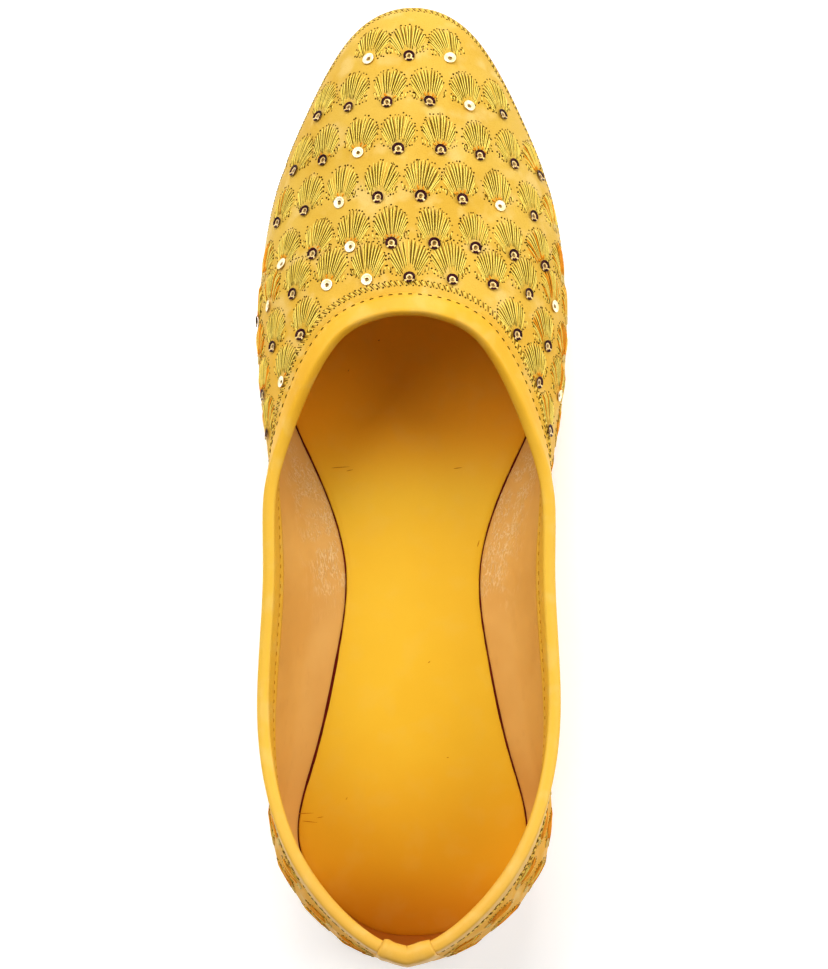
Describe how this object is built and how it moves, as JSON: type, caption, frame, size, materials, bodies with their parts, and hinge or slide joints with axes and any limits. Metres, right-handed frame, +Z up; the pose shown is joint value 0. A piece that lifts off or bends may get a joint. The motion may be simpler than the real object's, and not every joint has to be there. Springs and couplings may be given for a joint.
{
  "type": "khussa shoe",
  "caption": "Flat slip-on khussa shoe with a pointed toe, low-cut throat, bound top line, peaked soft back and a studded rubber sole with a low heel.",
  "frame": {"origin": "on the floor, under the middle of the shoe's length and width", "axes": "+Y from the heel to the toe, +X across, +Z up from the sole"},
  "size_m": [0.0816, 0.252, 0.0593],
  "materials": {
    "sole_rubber": "matte, moulded",
    "insole_leather": "smooth, satin",
    "upper_leather": "smooth, embroidered",
    "binding_leather": "smooth, satin",
    "lining_leather": "tan, lightly wrinkled",
    "embroidery_thread": "twisted silky thread",
    "sequin_foil": "metallised, glossy"
  },
  "bodies": {
    "root": {"outsole": "sole_rubber", "insole": "insole_leather", "upper": "upper_leather", "collar_binding": "binding_leather", "heel_tab": "binding_leather"}
  },
  "joints": []
}
